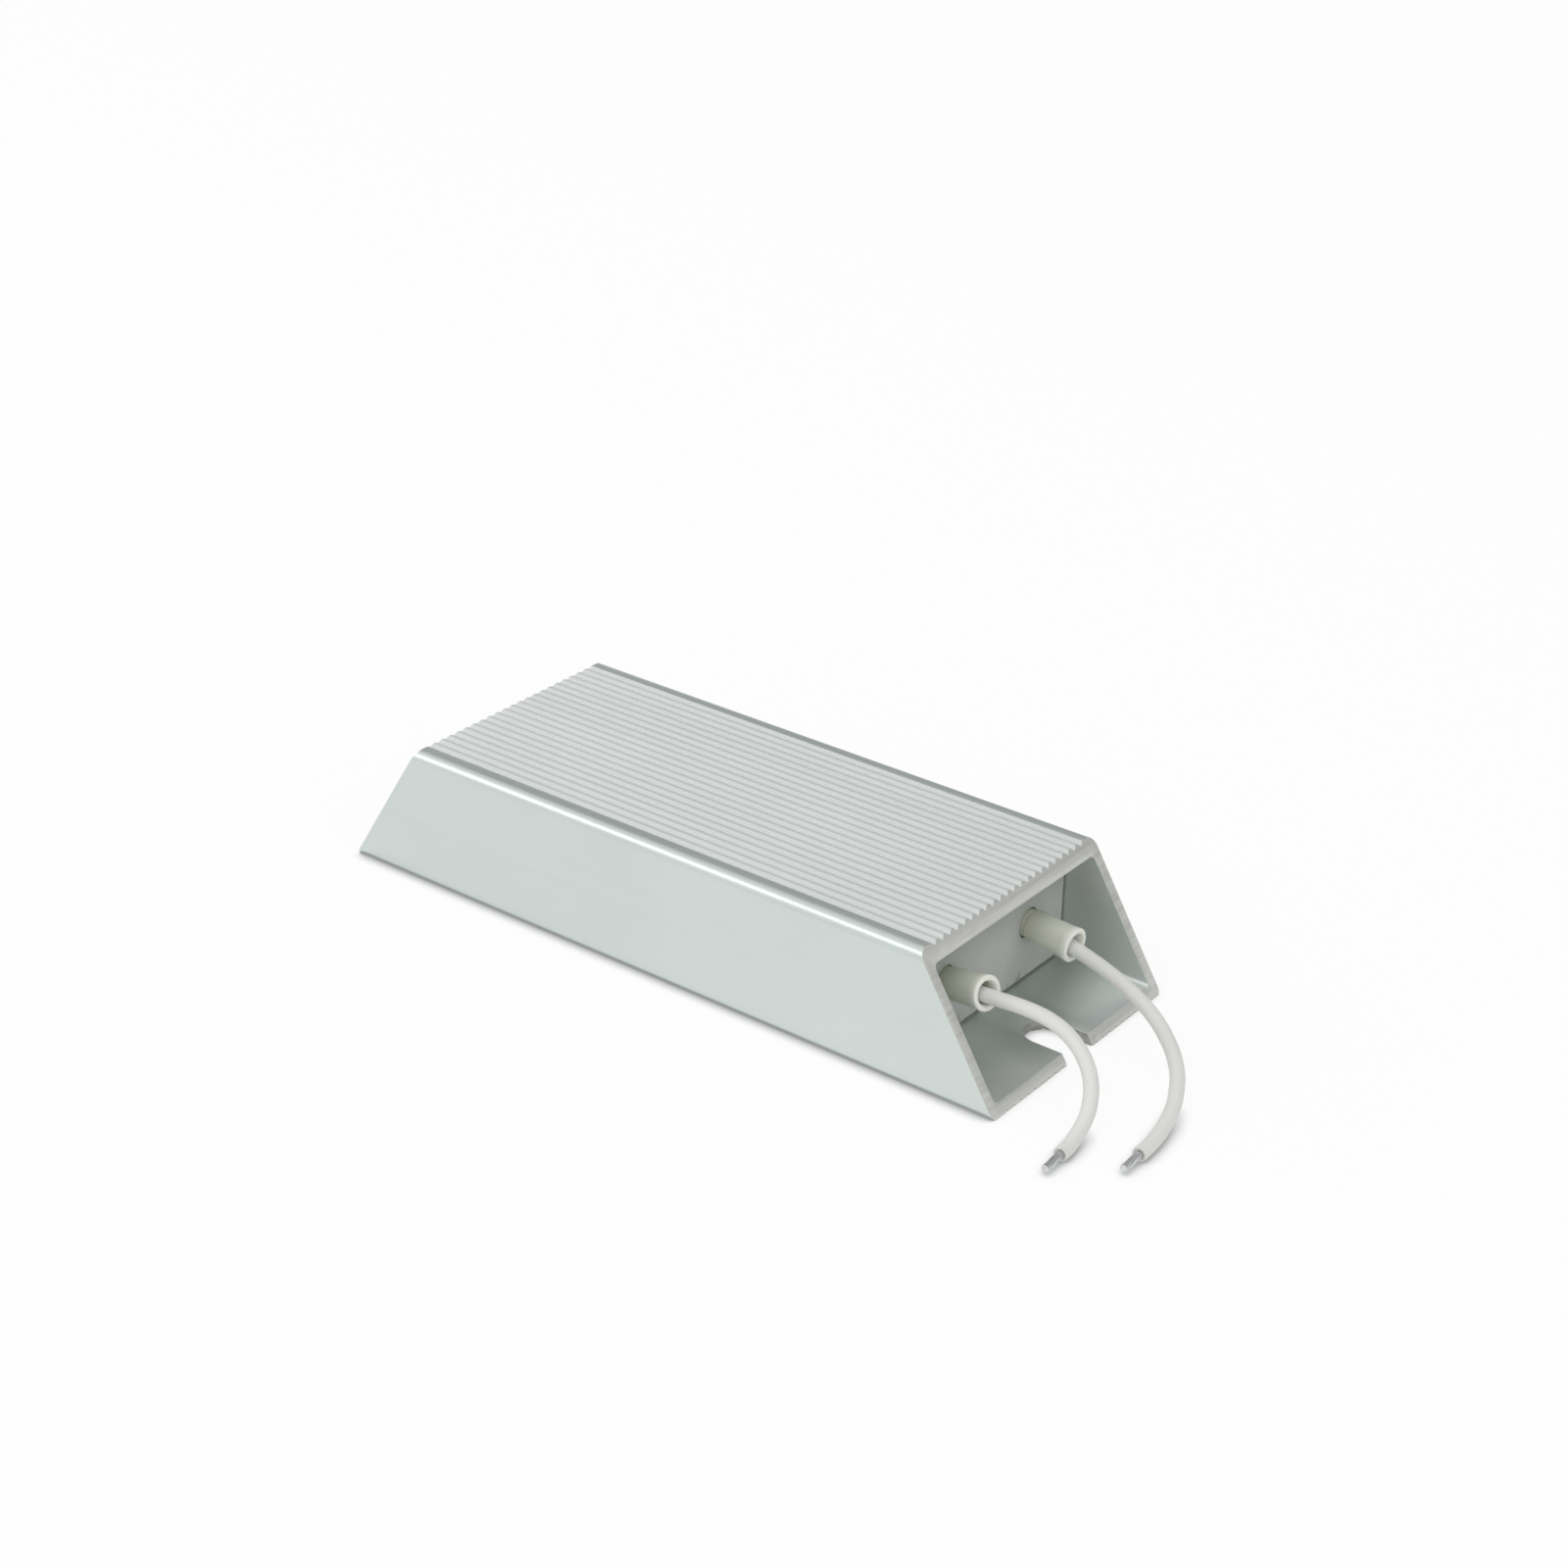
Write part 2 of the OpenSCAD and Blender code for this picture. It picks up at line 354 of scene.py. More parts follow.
@dataclass(frozen=True)
class SawnEnd(Finish):
    """The sawn end of the extrusion: matt, with the blade's lines across it."""

    tint: Colour = (0.66, 0.67, 0.635)
    roughness: float = 0.50
    line_depth: float = 0.03 * MM

    def paint(self, graph: Graph) -> None:
        """See Finish.paint."""
        lines = graph.noise(900.0, 24.0, 900.0)
        patches = graph.noise(160.0)
        colour = graph.mixed(lines.rise(0.35, 0.65), scaled(self.tint, 0.90), scaled(self.tint, 1.05))
        colour = graph.mixed(patches.rise(0.5, 0.75) * 0.4, colour, scaled(self.tint, 0.84))
        normal = graph.bump(lines, self.line_depth)
        graph.surface(colour, self.roughness + patches.swing(0.2), {"Metallic": 0.85, "Normal": normal})


@dataclass(frozen=True)
class BrightEdge(Finish):
    """Bare bright aluminium where the saw has broken an edge."""

    tint: Colour = (0.84, 0.85, 0.83)

    def paint(self, graph: Graph) -> None:
        """See Finish.paint."""
        nicks = graph.noise(700.0, detail=2.0)
        colour = graph.mixed(nicks.rise(0.45, 0.7), self.tint, scaled(self.tint, 0.78))
        graph.surface(colour, 0.32 + nicks * 0.2, {"Metallic": 1.0})


@dataclass(frozen=True)
class BoardFace(Finish):
    """Pressed mineral board: grey and dull, with painted shade that darkens it towards its top under the
    overhang, and painted shade in patches along its foot.
    """

    tint: Colour = (0.485, 0.50, 0.475)
    foot_shade: Colour = (0.16, 0.15, 0.13)
    foot: float = 2.2 * MM
    head: float = 26.8 * MM

    def paint(self, graph: Graph) -> None:
        """See Finish.paint."""
        clouds = graph.noise(60.0, 90.0, 90.0, detail=4.0)
        grit = graph.grains(2600.0)
        foot_shade_patches = graph.noise(180.0, 420.0, 130.0, detail=2.0)
        _, _, height = graph.axes(graph.place(1.0))
        colour = graph.mixed(clouds.rise(0.3, 0.7), scaled(self.tint, 0.95), scaled(self.tint, 1.05))
        # painted shade: darker towards the board's top, under the housing's top wall
        colour = graph.mixed(height.rise(self.head * 0.5, self.head) * 0.8, colour, scaled(self.tint, 0.50))
        colour = graph.mixed(grit.rise(0.25, 0.05) * 0.15, colour, scaled(self.tint, 0.6))
        # painted shade in patches along the board's foot, where it meets the bore's floor
        low_down = height.rise(self.foot + 4 * MM, self.foot + 0.5 * MM)
        colour = graph.mixed(foot_shade_patches.rise(0.50, 0.64) * low_down * 0.6, colour, self.foot_shade)
        normal = graph.bump(grit * 0.4 + clouds * 0.6, 0.03 * MM)
        graph.surface(colour, 0.62 + clouds.swing(0.2), {"Specular IOR Level": 0.3, "Normal": normal})


@dataclass(frozen=True)
class QuartzCement(Finish):
    """Set cement full of quartz grains."""

    tint: Colour = (0.58, 0.56, 0.50)

    def paint(self, graph: Graph) -> None:
        """See Finish.paint."""
        grains = graph.grains(1500.0)
        clouds = graph.noise(120.0, detail=5.0)
        colour = graph.mixed(grains.rise(0.2, 0.6), scaled(self.tint, 1.15), scaled(self.tint, 0.75))
        colour = graph.mixed(clouds.rise(0.4, 0.7) * 0.4, colour, scaled(self.tint, 0.6))
        graph.surface(colour, 0.85, {"Normal": graph.bump(grains + clouds, 0.15 * MM)})


@dataclass(frozen=True)
class FiredCeramic(Finish):
    """Unglazed fired ceramic, off-white with small pores and a soft sheen."""

    tint: Colour = (0.80, 0.78, 0.72)
    shade: Colour = (0.60, 0.57, 0.50)
    roughness: float = 0.5

    def paint(self, graph: Graph) -> None:
        """See Finish.paint."""
        clouds = graph.noise(90.0, 140.0, 140.0, detail=4.0)
        pores = graph.grains(3200.0)
        colour = graph.mixed(clouds.rise(0.35, 0.75) * 0.5, self.tint, self.shade)
        colour = graph.mixed(pores.rise(0.14, 0.02) * 0.5, colour, scaled(self.shade, 0.6))
        normal = graph.bump(pores.rise(0.0, 0.3) * 0.6 + clouds * 0.4, 0.03 * MM)
        graph.surface(colour, self.roughness + clouds.swing(0.16), {"Normal": normal})


@dataclass(frozen=True)
class DrawnMetal(Finish):
    """Plain metal with short working lines and a little tarnish."""

    tint: Colour
    tarnish: Colour = (0.35, 0.33, 0.30)
    roughness: float = 0.35

    def paint(self, graph: Graph) -> None:
        """See Finish.paint."""
        worked = graph.noise(900.0, 60.0, 60.0)
        stains = graph.noise(240.0, detail=4.0)
        colour = graph.mixed(worked.rise(0.35, 0.65), scaled(self.tint, 0.92), scaled(self.tint, 1.06))
        colour = graph.mixed(stains.rise(0.52, 0.75) * 0.6, colour, self.tarnish)
        normal = graph.bump(worked, 0.01 * MM)
        graph.surface(colour, self.roughness + stains.swing(0.25), {"Metallic": 1.0, "Normal": normal})


@dataclass(frozen=True)
class SleeveStock(Finish):
    """Greyish cream insulating sleeve, faintly mottled, with a painted highlight round its mouth and painted
    olive shade at its root.
    """

    tint: Colour = (0.70, 0.72, 0.62)
    # darker tone for the mottle, and the colour of the painted shade at the root
    shade: Colour = (0.52, 0.535, 0.42)
    # colour of the painted highlight round the mouth
    lip: Colour = (0.82, 0.83, 0.76)

    def paint(self, graph: Graph) -> None:
        """See Finish.paint."""
        mottle = graph.noise(160.0, 260.0, 260.0, detail=4.0)
        fine = graph.noise(1500.0, detail=2.0)
        along = graph.attribute("towards_mouth")
        colour = graph.mixed(mottle.rise(0.4, 0.8) * 0.4, self.tint, self.shade)
        # painted shade: darker towards the root, by the board
        colour = graph.mixed(along.rise(0.45, 0.0) * 0.6, colour, self.shade)
        # painted highlight: paler towards the rim of the mouth
        colour = graph.mixed(along.rise(0.80, 0.97), colour, self.lip)
        normal = graph.bump(mottle * 0.6 + fine * 0.4, 0.03 * MM)
        graph.surface(colour, 0.48 + mottle.swing(0.2), {"Specular IOR Level": 0.45, "Normal": normal})


@dataclass(frozen=True)
class GlassBraid(Finish):
    """White glass-fibre braid: bright yarn crowns, with painted shade between them that is warmer and darker.
    """

    crown: Colour = (0.79, 0.795, 0.77)
    # colour of the painted shade between the yarns
    hollow: Colour = (0.55, 0.55, 0.51)
    handled: Colour = (0.64, 0.64, 0.60)

    def paint(self, graph: Graph) -> None:
        """See Finish.paint."""
        relief = graph.attribute("yarn_height")
        fibres = graph.noise(5200.0, detail=2.0)
        # painted shade: darker between the yarns, where the relief is low
        colour = graph.mixed(relief.rise(0.05, 0.6), self.hollow, self.crown)
        colour = graph.mixed(graph.noise(90.0).rise(0.5, 0.8) * 0.35, colour, self.handled)
        graph.surface(colour, 0.72, {"Sheen Weight": 0.15, "Normal": graph.bump(fibres, 0.02 * MM)})


@dataclass(frozen=True)
class StudioFloor(Finish):
    """White floor that keeps a soft shadow, and a painted contact shadow: a dark line where the part touches
    it.
    """

    white: Colour = (0.97, 0.97, 0.97)
    contact_shadow: Colour = (0.30, 0.31, 0.31)
    shade_kept: float = 0.10
    contact_reach: float = 3.5 * MM

    def paint(self, graph: Graph) -> None:
        """See Finish.paint."""
        rays, kinds = graph.node("LightPath").outputs, ("Camera", "Glossy", "Transmission")
        seen, mirrored, through = (Field(graph, rays[f"Is {kind} Ray"]) for kind in kinds)
        share = (seen + mirrored + through).clamped() * (1.0 - self.shade_kept)
        lit = graph.node("BsdfDiffuse", inputs={"Color": (*self.white, 1.0)})
        near = graph.node("AmbientOcclusion", {"samples": 16}, {"Distance": self.contact_reach})
        openness = Field(graph, near.outputs["AO"])
        # painted contact shadow: the plain white darkens towards a grey wherever the part hems the floor in
        tone = graph.mixed(openness.rise(0.25, 0.95), self.contact_shadow, (1.0, 1.0, 1.0))
        plain = graph.node("Emission", inputs={"Color": tone, "Strength": 1.0})
        both = graph.node("MixShader", inputs={0: share, 1: lit.outputs[0], 2: plain.outputs[0]})
        graph.node("OutputMaterial", inputs={"Surface": both.outputs[0]})


# Mesh tools


def placed(name: str, data: bpy.types.ID) -> Piece:
    """Makes an object of some data, such as a mesh or a lamp, and links it to the scene."""
    bpy.context.scene.collection.objects.link(made := bpy.data.objects.new(name, data))
    return made


def new_object(name: str, points: Sequence[Sequence[float]], faces: Sequence[Sequence[int]]) -> Piece:
    """Makes a mesh object at the origin.

    Args:
        name: Name of the object and of its mesh.
        points: Its points, in metres.
        faces: Its faces, as numbers of points.

    Returns:
        The object, linked to the scene, with its faces turned outwards.
    """
    mesh = bpy.data.meshes.new(name)
    mesh.from_pydata([tuple(p) for p in points], [], [tuple(f) for f in faces])
    work = bmesh.new()
    work.from_mesh(mesh)
    bmesh.ops.recalc_face_normals(work, faces=work.faces)
    work.to_mesh(mesh)
    work.free()
    return placed(name, mesh)


def stack(name: str, rings: Sequence[Sequence[Sequence[float]]]) -> Piece:
    """Makes a tube with closed ends from rings of the same number of points.

    Args:
        name: The object's name.
        rings: The rings, in order.

    Returns:
        The object.
    """
    count, sides = len(rings), len(rings[0])
    faces = []
    for i in range(count - 1):
        a, b = i * sides, (i + 1) * sides
        faces += [(a + k, a + (k + 1) % sides, b + (k + 1) % sides, b + k) for k in range(sides)]
    faces += [tuple(range(sides)), tuple(range((count - 1) * sides, count * sides))]
    return new_object(name, [p for ring in rings for p in ring], faces)


def arc(centre: Point2, radius: float, start: float, end: float, steps: int) -> Outline:
    """Points along an arc.

    Args:
        centre: The arc's centre.
        radius: Its radius.
        start: Angle of its first point, in degrees.
        end: Angle of its last point, in degrees.
        steps: Number of straight steps.

    Returns:
        steps + 1 points.
    """
    angles = [radians(start + (end - start) * k / steps) for k in range(steps + 1)]
    return [(centre[0] + radius * cos(a), centre[1] + radius * sin(a)) for a in angles]


def across(ahead: Vector) -> tuple[Vector, Vector]:
    """The level direction and the upward one that are square to a third."""
    left = Vector((0.0, 0.0, 1.0)).cross(ahead).normalized()
    return left, ahead.cross(left)


def spoke(turn: float, left: Vector, up: Vector) -> Vector:
    """The direction at an angle, in radians, from left towards up."""
    return cos(turn) * left + sin(turn) * up


def rounded_rectangle(
    width: float, low: float, high: float, low_radius: float, high_radius: float, steps: int = 10
) -> Outline:
    """Outline of a rectangle centred on Y, going round from the lower left corner's arc.

    Args:
        width: Its width.
        low: Height of its lower side.
        high: Height of its upper side.
        low_radius: Radius of both lower corners.
        high_radius: Radius of both upper corners.
        steps: Straight steps in each corner.

    Returns:
        The outline's (y, z) points, anticlockwise.
    """
    half = width / 2
    lower, upper = half - low_radius, half - high_radius
    return [
        *arc((-lower, low + low_radius), low_radius, 180, 270, steps),
        *arc((lower, low + low_radius), low_radius, 270, 360, steps),
        *arc((upper, high - high_radius), high_radius, 0, 90, steps),
        *arc((-upper, high - high_radius), high_radius, 90, 180, steps),
    ]


def combine(target: Piece, tool: Piece, how: Solver) -> None:
    """Cuts a tool out of a mesh or joins it on, and deletes the tool.

    Args:
        target: The object whose mesh is changed.
        tool: The object that is used up.
        how: Whether it is cut out or joined.
    """
    step = target.modifiers.new("combine", "BOOLEAN")
    step.operation = how.value
    step.solver = "EXACT"
    step.object = tool
    apply_modifiers(target)
    bpy.data.objects.remove(tool)


def apply_modifiers(target: Piece) -> None:
    """Makes an object's modifiers part of its mesh.

    Args:
        target: The object.
    """
    shown = target.evaluated_get(bpy.context.evaluated_depsgraph_get())
    mesh = bpy.data.meshes.new_from_object(shown)
    target.modifiers.clear()
    target.data = mesh


def smooth(target: Piece, angle: float = 32.0) -> None:
    """Shades a mesh smooth, apart from edges sharper than an angle in degrees."""
    target.data.shade_smooth()
    target.data.set_sharp_from_angle(angle=radians(angle))


def break_edges(
    target: Piece,
    width: float,
    chosen: Callable[[Vector, Vector], bool],
    slot_number: int = NO_SLOT,
    angle: float = 32.0,
) -> None:
    """Bevels chosen sharp edges slightly, as deburring does.

    Args:
        target: The object whose edges are broken.
        width: Width of the bevel.
        chosen: Says whether an edge is one of them, from its two end points.
        slot_number: Material slot of the new faces, or NO_SLOT for their neighbours'.
        angle: Only edges sharper than this are bevelled, in degrees.
    """
    work = bmesh.new()
    work.from_mesh(target.data)
    weights = work.edges.layers.float.new("bevel_weight_edge")
    for edge in work.edges:
        sharp = len(edge.link_faces) == 2 and edge.calc_face_angle() > radians(angle)
        edge[weights] = float(sharp and chosen(edge.verts[0].co, edge.verts[1].co))
    work.to_mesh(target.data)
    work.free()
    step = target.modifiers.new("broken edges", "BEVEL")
    step.limit_method = "WEIGHT"
    step.width = width
    step.segments = 2
    step.material = slot_number
    apply_modifiers(target)


def lathed(name: str, outline: Outline, start: Vector, ahead: Vector) -> Piece:
    """Makes a solid round bar whose radius changes along its axis.

    Args:
        name: The object's name.
        outline: Pairs of the distance along the axis and the radius there.
        start: Where the axis starts.
        ahead: The axis's direction.

    Returns:
        The closed object.
    """
    left, up = across(ahead)
    spokes = [spoke(tau * k / TURN_STEPS, left, up) for k in range(TURN_STEPS)]
    rings = [[start + ahead * along + radius * way for way in spokes] for along, radius in outline]
    return stack(name, rings)


def store(piece: Piece, name: str, values: Sequence[float]) -> None:
    """Stores a number on each point of a mesh, for its finish to use."""
    piece.data.attributes.new(name, "FLOAT", "POINT").data.foreach_set("value", values)


def dress(piece: Piece, finish: Finish, node: str) -> None:
    """Gives a finished piece its material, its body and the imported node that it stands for.

    Args:
        piece: The piece.
        finish: Its finish, put in its first slot if it has none yet.
        node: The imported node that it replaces.
    """
    if not piece.data.materials:
        piece.data.materials.append(finish.material())
    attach(piece, BODY)
    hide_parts(node)
    LOG.info("%s: %d faces, stands for %s", piece.name, len(piece.data.polygons), node)


# Sub-assemblies


@dataclass
class Housing:
    """The ribbed extrusion with its slanting sawn ends and the two open fixing slots."""

    top_length: float = 128 * MM
    side_wall: float = 2.4 * MM
    top_wall: float = 3.2 * MM
    floor: float = 2.2 * MM
    edge_radius: float = 2.4 * MM
    foot_radius: float = 1.4 * MM
    bore_radius: float = 1.2 * MM
    ribs: int = 21
    rib_pitch: float = 2.4 * MM
    valley_width: float = 1.9 * MM
    valley_depth: float = 0.7 * MM
    groove_width: float = 1.0 * MM
    groove_depth: float = 0.4 * MM
    seat_x: float = 74.5 * MM
    slot_width: float = 9 * MM
    mouth_radius: float = 0.5 * MM
    broken_edge: float = 0.14 * MM
    slack: float = 0.01 * MM
    parallel: float = 0.98
    upright: float = 0.2
    lengthwise: float = 0.9
    level: float = 0.5
    length: float = field(init=False)
    width: float = field(init=False)
    height: float = field(init=False)

    def __post_init__(self) -> None:
        """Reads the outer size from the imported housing."""
        low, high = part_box("housing")
        self.length, self.width, self.height = high - low

    @property
    def bore_width(self) -> float:
        """Width of the bore."""
        return self.width - 2 * self.side_wall

    @property
    def bore_top(self) -> float:
        """Height of the bore's upper wall."""
        return self.height - self.top_wall

    def end_x(self, z: float) -> float:
        """How far the slanting end is from the middle at a height."""
        return (self.length + (self.top_length - self.length) * z / self.height) / 2

    def _valleys(self, z: float, into: float, width: float, depth: float, steps: int) -> Outline:
        """Outline of a row of valleys, from the lowest Y to the highest.

        Args:
            z: Height of the lands between them.
            into: 1 if they are cut upwards, -1 if downwards.
            width: Width of each.
            depth: Depth of each.
            steps: Straight steps across each.

        Returns:
            The outline's (y, z) points.
        """
        points = []
        for i in range(self.ribs + 1):
            middle = (i - self.ribs / 2) * self.rib_pitch
            for k in range(steps + 1):
                sunk = depth * (1 - cos(tau * k / steps)) / 2
                points.append((middle + width * (k / steps - 0.5), z + into * sunk))
        return points

    def _section(self) -> Outline:
        """Outline of the whole section.

        Returns:
            The outline's (y, z) points, anticlockwise.
        """
        round_part = rounded_rectangle(self.width, 0.0, self.height, self.foot_radius, self.edge_radius, 12)
        quarter = len(round_part) // 4
        under = self._valleys(0.0, 1.0, self.groove_width, self.groove_depth, steps=6)
        over = self._valleys(self.height, -1.0, self.valley_width, self.valley_depth, steps=12)
        return [
            *round_part[:quarter],
            *under,
            *round_part[quarter:3 * quarter],
            *reversed(over),
            *round_part[3 * quarter:],
        ]

    def _slot_outline(self) -> Outline:
        """Outline of the slot at +X, running out past the lip's end.

        Returns:
            The outline's (x, y) points.
        """
        half, lip, ease, out = self.slot_width / 2, self.length / 2, self.mouth_radius, 2 * MM
        upper = [
            *arc((lip - ease, half + ease), ease, 270, 360, 8),
            (lip, half + ease + out),
            (lip + out, half + ease + out),
        ]
        lower = [(x, -y) for x, y in reversed(upper)]
        return [*arc((self.seat_x, 0.0), half, 270, 90, 32), *upper, *lower]

    def build(self) -> None:
        """Makes the housing, with a skin, sawn ends and bright broken edges."""
        section = self._section()
        rings = [[(end.value * self.end_x(z), y, z) for y, z in section] for end in End]
        shell = stack("ribbed_housing", rings)
        bore = rounded_rectangle(
            self.bore_width, self.floor, self.bore_top, self.bore_radius, self.bore_radius
        )
        through = [[(end.value * self.length, y, z) for y, z in bore] for end in End]
        combine(shell, stack("bore_tool", through), Solver.CUT)
        for end in End:
            outline = [(end.value * x, y) for x, y in self._slot_outline()]
            plan = [[(x, y, z) for x, y in outline] for z in (-MM, self.floor + MM)]
            combine(shell, stack("slot_tool", plan), Solver.CUT)
        self._finish_faces(shell)
        dress(shell, SKIN, "housing")

    def _finish_at(self, centre: Vector, normal: Vector, slant: Vector) -> Finish:
        """The finish of one face.

        Args:
            centre: The face's middle.
            normal: Its outward direction.
            slant: Outward direction of the sawn end at +X.

        Returns:
            The finish.
        """
        if Vector((abs(normal.x), normal.y, normal.z)).dot(slant) > self.parallel:
            return SAWN
        if centre.z < self.floor and abs(centre.y) < self.slot_width and abs(normal.z) < self.upright:
            return SLOT_PAINTED_SHADE
        ribbed = abs(centre.y) < (self.ribs * self.rib_pitch + self.valley_width) / 2
        if ribbed and centre.z > self.height - self.valley_depth - self.slack:
            return RIBBED
        inside = abs(centre.y) < self.bore_width / 2 + self.slack
        return BORE if inside and self.floor - self.slack < centre.z < self.bore_top + self.slack else SKIN

    def _finish_faces(self, shell: Piece) -> None:
        """Breaks the sawn edges and gives each face its finish.

        Args:
            shell: The housing's object.
        """
        finishes = (SKIN, SAWN, EDGE, BORE, SLOT_PAINTED_SHADE, RIBBED)
        for finish in finishes:
            shell.data.materials.append(finish.material())
        slant = Vector((self.height, 0.0, (self.length - self.top_length) / 2)).normalized()
        for face in shell.data.polygons:
            face.material_index = finishes.index(self._finish_at(face.center, face.normal, slant))
        slot_reach = self.slot_width / 2 + self.mouth_radius + NEARBY

        def is_cut(a: Vector, b: Vector) -> bool:
            """Whether an edge was made by the saw or by the slot cutter."""
            middle, run = (a + b) / 2, (b - a).normalized()
            in_slot = abs(middle.y) < slot_reach and abs(middle.x) > self.seat_x - self.slot_width
            at_lip = in_slot and middle.z < self.floor + NEARBY and abs(run.z) < self.level
            return abs(run.x) < self.lengthwise or at_lip

        break_edges(shell, self.broken_edge, is_cut, slot_number=finishes.index(EDGE), angle=40.0)
        smooth(shell)


@dataclass
class EndBoard:
    """A board that closes the bore, rebated round its outer face."""

    housing: Housing
    end: End
    node: str
    rebate: float = 0.6 * MM
    corner: float = 1.2 * MM
    broken_edge: float = 0.1 * MM

    def build(self, outlets: Sequence[Outlet]) -> None:
        """Makes the board.

        Args:
            outlets: The sleeves that pass through it.
        """
        low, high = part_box(self.node)
        inner, outer = (low.x, high.x) if self.end is End.LEAD else (high.x, low.x)
        step_x = outer - self.end.value * self.rebate
        profile = [
            (inner, 0.0),
            (step_x, 0.0),
            (step_x, self.rebate),
            (outer - self.end.value * self.broken_edge, self.rebate),
            (outer, self.rebate + self.broken_edge),
        ]
        rings = []
        for x, inset in profile:
            radius = self.corner - inset * 0.5
            outline = rounded_rectangle(
                self.housing.bore_width - 2 * inset, low.z + inset, high.z - inset, radius, radius
            )
            rings.append([(x, y, z) for y, z in outline])
        board = stack(self.node.replace("board", "board_face"), rings)
        for outlet in outlets:
            combine(board, outlet.hole_tool(inner, outer), Solver.CUT)
        smooth(board)
        dress(board, BOARD, self.node)


@dataclass
class Outlet:
    """An insulating sleeve: a straight neck in the board and a flared bead that leans with its lead.

    Its profiles are pairs in millimetres: distance from the bead's end, and radius beyond rear_radius
    or front_radius.
    """

    side: Side
    lean: Point2
    bead_length: float
    axis_y: float = 14.5 * MM
    axis_z: float = 15 * MM
    back: float = 42 * MM
    root: float = 61 * MM
    neck_radius: float = 2.9 * MM
    rear_radius: float = 3.25 * MM
    front_radius: float = 3.6 * MM
    bore_radius: float = 2.15 * MM
    rear_profile: Outline = ((0.0, -0.3), (0.1, -0.1), (0.3, 0.0))
    belly: float = 0.06 * MM
    front_profile: Outline = ((-2.2, -0.18), (-1.2, -0.04))
    lip: float = 0.4 * MM
    inner_lip: float = 0.22 * MM
    flare: float = 0.6 * MM
    flare_depth: float = 1.5 * MM
    hole_depth: float = 0.8 * MM
    hole_gap: float = 0.35 * MM
    slack: float = 0.02 * MM

    @property
    def start(self) -> Vector:
        """Where the bead's axis leaves the neck."""
        return Vector((self.root, self.side.value * self.axis_y, self.axis_z))

    @property
    def ahead(self) -> Vector:
        """Direction of the bead's axis."""
        sideways, upwards = (radians(a) for a in self.lean)
        flat = cos(upwards)
        return Vector((flat * cos(sideways), flat * sin(sideways), sin(upwards)))

    @property
    def mouth(self) -> Vector:
        """Middle of the bead's open end."""
        return self.start + self.ahead * self.bead_length

    def _bar(self, name: str, outline: Outline) -> Piece:
        """Makes a straight round bar on the neck's axis, with distances counted as X."""
        return lathed(name, outline, Vector((0.0, self.start.y, self.start.z)), Vector((1.0, 0.0, 0.0)))

    def hole_tool(self, inner: float, outer: float) -> Piece:
        """Makes what is cut out of the board for this sleeve.

        Args:
            inner: Where the board's inner face is.
            outer: Where its outer face is.

        Returns:
            A plug that is wider near the outer face.
        """
        narrow, wide = self.neck_radius, self.neck_radius + self.hole_gap
        step = outer - self.hole_depth
        outline = [(inner - MM, narrow), (step, narrow), (step, wide), (outer + MM, wide)]
        return self._bar("hole_tool", outline)

    def build(self) -> None:
        """Makes the sleeve, bored through, with rounded lips."""
        long, bore, lip = self.bead_length, self.bore_radius, self.lip
        rear, front = self.rear_radius, self.front_radius
        neck = [(self.back, self.neck_radius), (self.root + MM, self.neck_radius)]
        sleeve = self._bar(f"outlet_sleeve_{self.side.word}", neck)
        bead = [
            *((along * MM, rear + more * MM) for along, more in self.rear_profile),
            (long / 2, rear + self.belly),
            *((long + along * MM, front + more * MM) for along, more in self.front_profile),
            *arc((long - lip, front - lip), lip, 90, 0, 8),
        ]
        combine(sleeve, lathed("bead", bead, self.start, self.ahead), Solver.JOIN)
        straight = [(self.back - MM, bore), (self.root + 1.2 * MM, bore)]
        combine(sleeve, self._bar("bore_tool", straight), Solver.CUT)
        flare = [
            (-0.6 * MM, bore),
            (long - self.flare_depth, bore),
            (long + 0.5 * MM, bore + self.flare),
        ]
        combine(sleeve, lathed("flare_tool", flare, self.start, self.ahead), Solver.CUT)

        def is_inner_lip(a: Vector, b: Vector) -> bool:
            """Whether an edge goes round the open end of the bore."""
            offsets = (a - self.mouth, b - self.mouth)
            widest = bore + self.flare + NEARBY
            return all(abs(o.dot(self.ahead)) < self.slack and o.length < widest for o in offsets)

        break_edges(sleeve, self.inner_lip, is_inner_lip)
        smooth(sleeve, 40.0)
        # share along the bead, which places the painted shade at the root and the painted highlight at the
        # mouth
        shares = [(v.co - self.start).dot(self.ahead) / long for v in sleeve.data.vertices]
        store(sleeve, "towards_mouth", [max(0.0, share) for share in shares])
        dress(sleeve, SLEEVE, f"sleeve_{self.side.word}")


